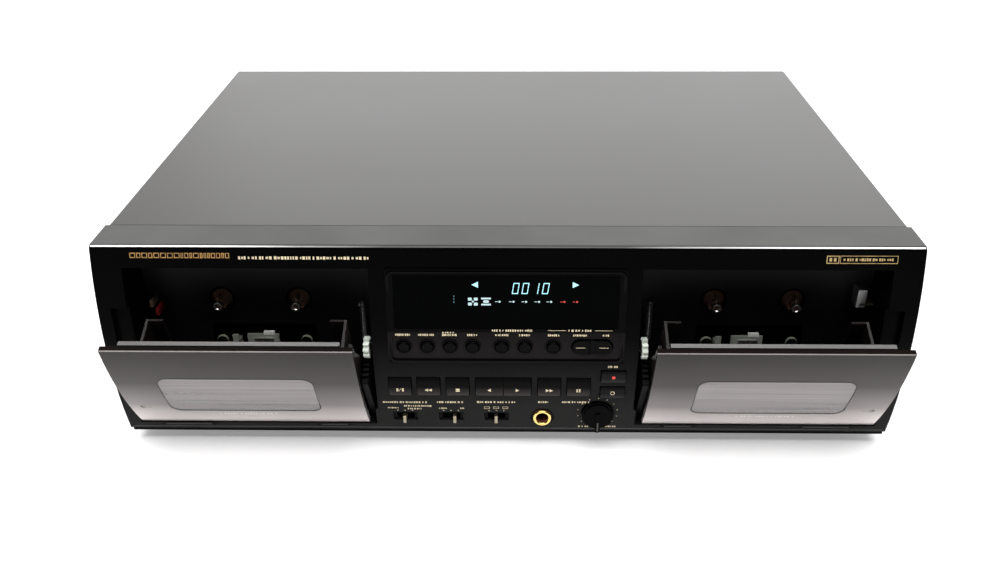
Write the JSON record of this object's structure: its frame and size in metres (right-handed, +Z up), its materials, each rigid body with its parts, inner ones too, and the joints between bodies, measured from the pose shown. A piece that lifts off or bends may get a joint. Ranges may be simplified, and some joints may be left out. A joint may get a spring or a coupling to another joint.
{
  "type": "cassette deck",
  "caption": "Wide low tape recorder with two tilting cassette doors, a central control panel with keys and display, reel spindles, tape heads and rear signal jacks.",
  "frame": {"origin": "centre of the bounding box in plan, on the surface that the feet stand on", "axes": "+X to the right seen from the front, +Y from the front to the rear, +Z up"},
  "size_m": [0.4216, 0.3342, 0.125],
  "materials": {
    "face_plastic": "satin black, finely brushed top edge",
    "bezel_gloss": "gloss black",
    "display_glass": "smoked",
    "door_metal": "brownish grey metallic lacquer",
    "door_pane": "smoked translucent",
    "holder_steel": "bright sheet steel",
    "bracket_smoke": "smoked brown, translucent",
    "damper_plastic": "natural acetal",
    "cover_steel": "satin black paint",
    "bare_steel": "black paint",
    "foot_rubber": "matt black",
    "screw_steel": "black zinc",
    "well_plastic": "matt black",
    "mech_steel": "black sheet steel",
    "spring_steel": "bright wire",
    "board": "paper laminate",
    "core_steel": "laminated core",
    "motor_can": "plated can",
    "jack_metal": "gold plated ring",
    "socket_plastic": "black",
    "lever_metal": "satin nickel",
    "key_plastic": "satin black",
    "spindle_plastic": "dark brown black, bright tip ring",
    "capstan_steel": "ground steel",
    "head_metal": "polished"
  },
  "bodies": {
    "chassis": {"front_panel": "face_plastic", "control_bezel": "bezel_gloss", "display_window": "display_glass", "mic_jack": "jack_metal", "cassette_wells": "well_plastic", "mech_frames": "mech_steel", "door_springs": "spring_steel", "top_cover": "cover_steel", "base_chassis": "bare_steel", "rear_panel": "bare_steel", "feet": "foot_rubber", "screws": "screw_steel", "circuit_boards": "board", "transformer": "core_steel", "rear_jacks": "socket_plastic", "power_inlet": "socket_plastic", "tape_drives": "motor_can"},
    "left_door": {"left_door": "door_metal", "left_door_window": "door_pane", "left_door_holder": "holder_steel", "left_holder_bracket": "bracket_smoke", "left_door_sector": "damper_plastic"},
    "left_damper": {"left_damper_gear": "damper_plastic"},
    "left_outer_reel": {"left_outer_reel_spindle": "spindle_plastic"},
    "left_inner_reel": {"left_inner_reel_spindle": "spindle_plastic"},
    "left_outer_capstan": {"left_outer_capstan": "capstan_steel"},
    "left_inner_capstan": {"left_inner_capstan": "capstan_steel"},
    "left_head_carriage": {"left_head_carriage": "head_metal"},
    "right_door": {"right_door": "door_metal", "right_door_window": "door_pane", "right_door_holder": "holder_steel", "right_holder_bracket": "bracket_smoke", "right_door_sector": "damper_plastic"},
    "right_damper": {"right_damper_gear": "damper_plastic"},
    "right_outer_reel": {"right_outer_reel_spindle": "spindle_plastic"},
    "right_inner_reel": {"right_inner_reel_spindle": "spindle_plastic"},
    "right_outer_capstan": {"right_outer_capstan": "capstan_steel"},
    "right_inner_capstan": {"right_inner_capstan": "capstan_steel"},
    "right_head_carriage": {"right_head_carriage": "head_metal"},
    "key_deck_select": {"key_deck_select": "key_plastic"},
    "key_rewind": {"key_rewind": "key_plastic"},
    "key_stop": {"key_stop": "key_plastic"},
    "key_play_reverse": {"key_play_reverse": "key_plastic"},
    "key_play_forward": {"key_play_forward": "key_plastic"},
    "key_fast_forward": {"key_fast_forward": "key_plastic"},
    "key_pause": {"key_pause": "key_plastic"},
    "key_record": {"key_record": "key_plastic"},
    "key_record_mute": {"key_record_mute": "key_plastic"},
    "round_button_1": {"round_button_1": "key_plastic"},
    "round_button_2": {"round_button_2": "key_plastic"},
    "round_button_3": {"round_button_3": "key_plastic"},
    "round_button_4": {"round_button_4": "key_plastic"},
    "round_button_5": {"round_button_5": "key_plastic"},
    "round_button_6": {"round_button_6": "key_plastic"},
    "round_button_7": {"round_button_7": "key_plastic"},
    "level_rocker": {"level_rocker": "key_plastic"},
    "mix_knob": {"mix_knob": "key_plastic"},
    "timer_lever": {"timer_lever": "lever_metal"},
    "noise_reduction_lever": {"noise_reduction_lever": "lever_metal"},
    "reverse_mode_lever": {"reverse_mode_lever": "lever_metal"}
  },
  "joints": [
    {"name": "left_door_close", "type": "hinge", "parent": "chassis", "child": "left_door", "pos_m": [-0.13895, -0.1301, 0.0212], "axis": [-1, 0, 0], "range_deg": [0, 21.4]},
    {"name": "left_damper_turn", "type": "hinge", "parent": "chassis", "child": "left_damper", "pos_m": [-0.0731, -0.1379, 0.066], "axis": [-1, 0, 0], "range_deg": [-173.5, 0]},
    {"name": "left_outer_reel_spin", "type": "hinge", "parent": "chassis", "child": "left_outer_reel", "pos_m": [-0.1539, -0.1187, 0.0825], "axis": [0, -1, 0], "continuous": true},
    {"name": "left_inner_reel_spin", "type": "hinge", "parent": "chassis", "child": "left_inner_reel", "pos_m": [-0.1119, -0.1187, 0.0825], "axis": [0, -1, 0], "continuous": true},
    {"name": "left_outer_capstan_spin", "type": "hinge", "parent": "chassis", "child": "left_outer_capstan", "pos_m": [-0.1561, -0.1037, 0.0575], "axis": [0, -1, 0], "continuous": true},
    {"name": "left_inner_capstan_spin", "type": "hinge", "parent": "chassis", "child": "left_inner_capstan", "pos_m": [-0.1097, -0.1037, 0.0575], "axis": [0, -1, 0], "continuous": true},
    {"name": "left_head_lift", "type": "slide", "parent": "chassis", "child": "left_head_carriage", "axis": [0, 0, 1], "range_m": [0, 0.0045]},
    {"name": "right_door_close", "type": "hinge", "parent": "chassis", "child": "right_door", "pos_m": [0.13895, -0.1301, 0.0212], "axis": [-1, 0, 0], "range_deg": [0, 21.4]},
    {"name": "right_damper_turn", "type": "hinge", "parent": "chassis", "child": "right_damper", "pos_m": [0.0731, -0.1379, 0.066], "axis": [-1, 0, 0], "range_deg": [-173.5, 0]},
    {"name": "right_outer_reel_spin", "type": "hinge", "parent": "chassis", "child": "right_outer_reel", "pos_m": [0.1539, -0.1187, 0.0825], "axis": [0, -1, 0], "continuous": true},
    {"name": "right_inner_reel_spin", "type": "hinge", "parent": "chassis", "child": "right_inner_reel", "pos_m": [0.1119, -0.1187, 0.0825], "axis": [0, -1, 0], "continuous": true},
    {"name": "right_outer_capstan_spin", "type": "hinge", "parent": "chassis", "child": "right_outer_capstan", "pos_m": [0.1561, -0.1037, 0.0575], "axis": [0, -1, 0], "continuous": true},
    {"name": "right_inner_capstan_spin", "type": "hinge", "parent": "chassis", "child": "right_inner_capstan", "pos_m": [0.1097, -0.1037, 0.0575], "axis": [0, -1, 0], "continuous": true},
    {"name": "right_head_lift", "type": "slide", "parent": "chassis", "child": "right_head_carriage", "axis": [0, 0, 1], "range_m": [0, 0.0045]},
    {"name": "key_deck_select_press", "type": "slide", "parent": "chassis", "child": "key_deck_select", "axis": [0, 1, 0], "range_m": [0, 0.0012], "stiffness_N_per_m": 200},
    {"name": "key_rewind_press", "type": "slide", "parent": "chassis", "child": "key_rewind", "axis": [0, 1, 0], "range_m": [0, 0.0012], "stiffness_N_per_m": 200},
    {"name": "key_stop_press", "type": "slide", "parent": "chassis", "child": "key_stop", "axis": [0, 1, 0], "range_m": [0, 0.0012], "stiffness_N_per_m": 200},
    {"name": "key_play_reverse_press", "type": "slide", "parent": "chassis", "child": "key_play_reverse", "axis": [0, 1, 0], "range_m": [0, 0.0012], "stiffness_N_per_m": 200},
    {"name": "key_play_forward_press", "type": "slide", "parent": "chassis", "child": "key_play_forward", "axis": [0, 1, 0], "range_m": [0, 0.0012], "stiffness_N_per_m": 200},
    {"name": "key_fast_forward_press", "type": "slide", "parent": "chassis", "child": "key_fast_forward", "axis": [0, 1, 0], "range_m": [0, 0.0012], "stiffness_N_per_m": 200},
    {"name": "key_pause_press", "type": "slide", "parent": "chassis", "child": "key_pause", "axis": [0, 1, 0], "range_m": [0, 0.0012], "stiffness_N_per_m": 200},
    {"name": "key_record_press", "type": "slide", "parent": "chassis", "child": "key_record", "axis": [0, 1, 0], "range_m": [0, 0.0012], "stiffness_N_per_m": 200},
    {"name": "key_record_mute_press", "type": "slide", "parent": "chassis", "child": "key_record_mute", "axis": [0, 1, 0], "range_m": [0, 0.0012], "stiffness_N_per_m": 200},
    {"name": "round_button_1_press", "type": "slide", "parent": "chassis", "child": "round_button_1", "axis": [0, 1, 0], "range_m": [0, 0.0008], "stiffness_N_per_m": 200},
    {"name": "round_button_2_press", "type": "slide", "parent": "chassis", "child": "round_button_2", "axis": [0, 1, 0], "range_m": [0, 0.0008], "stiffness_N_per_m": 200},
    {"name": "round_button_3_press", "type": "slide", "parent": "chassis", "child": "round_button_3", "axis": [0, 1, 0], "range_m": [0, 0.0008], "stiffness_N_per_m": 200},
    {"name": "round_button_4_press", "type": "slide", "parent": "chassis", "child": "round_button_4", "axis": [0, 1, 0], "range_m": [0, 0.0008], "stiffness_N_per_m": 200},
    {"name": "round_button_5_press", "type": "slide", "parent": "chassis", "child": "round_button_5", "axis": [0, 1, 0], "range_m": [0, 0.0008], "stiffness_N_per_m": 200},
    {"name": "round_button_6_press", "type": "slide", "parent": "chassis", "child": "round_button_6", "axis": [0, 1, 0], "range_m": [0, 0.0008], "stiffness_N_per_m": 200},
    {"name": "round_button_7_press", "type": "slide", "parent": "chassis", "child": "round_button_7", "axis": [0, 1, 0], "range_m": [0, 0.0008], "stiffness_N_per_m": 200},
    {"name": "level_rock", "type": "hinge", "parent": "chassis", "child": "level_rocker", "pos_m": [0.0452, -0.1393, 0.0707], "axis": [0, 0, 1], "range_deg": [-3, 3], "stiffness_Nm_per_rad": 0.05},
    {"name": "mix_turn", "type": "hinge", "parent": "chassis", "child": "mix_knob", "pos_m": [0.0502, -0.1437, 0.025], "axis": [0, -1, 0], "range_deg": [-150, 150]},
    {"name": "timer_lever_slide", "type": "slide", "parent": "chassis", "child": "timer_lever", "axis": [1, 0, 0], "range_m": [-0.004, 0.004]},
    {"name": "noise_reduction_lever_slide", "type": "slide", "parent": "chassis", "child": "noise_reduction_lever", "axis": [1, 0, 0], "range_m": [-0.006, 0.002]},
    {"name": "reverse_mode_lever_slide", "type": "slide", "parent": "chassis", "child": "reverse_mode_lever", "axis": [1, 0, 0], "range_m": [-0.004, 0.004]}
  ],
  "couplings": [
    {"joint": "left_damper_turn", "follows": "left_door_close", "ratio": -8.1},
    {"joint": "left_inner_capstan_spin", "follows": "left_outer_capstan_spin", "ratio": -1},
    {"joint": "right_damper_turn", "follows": "right_door_close", "ratio": -8.1},
    {"joint": "right_inner_capstan_spin", "follows": "right_outer_capstan_spin", "ratio": -1}
  ]
}
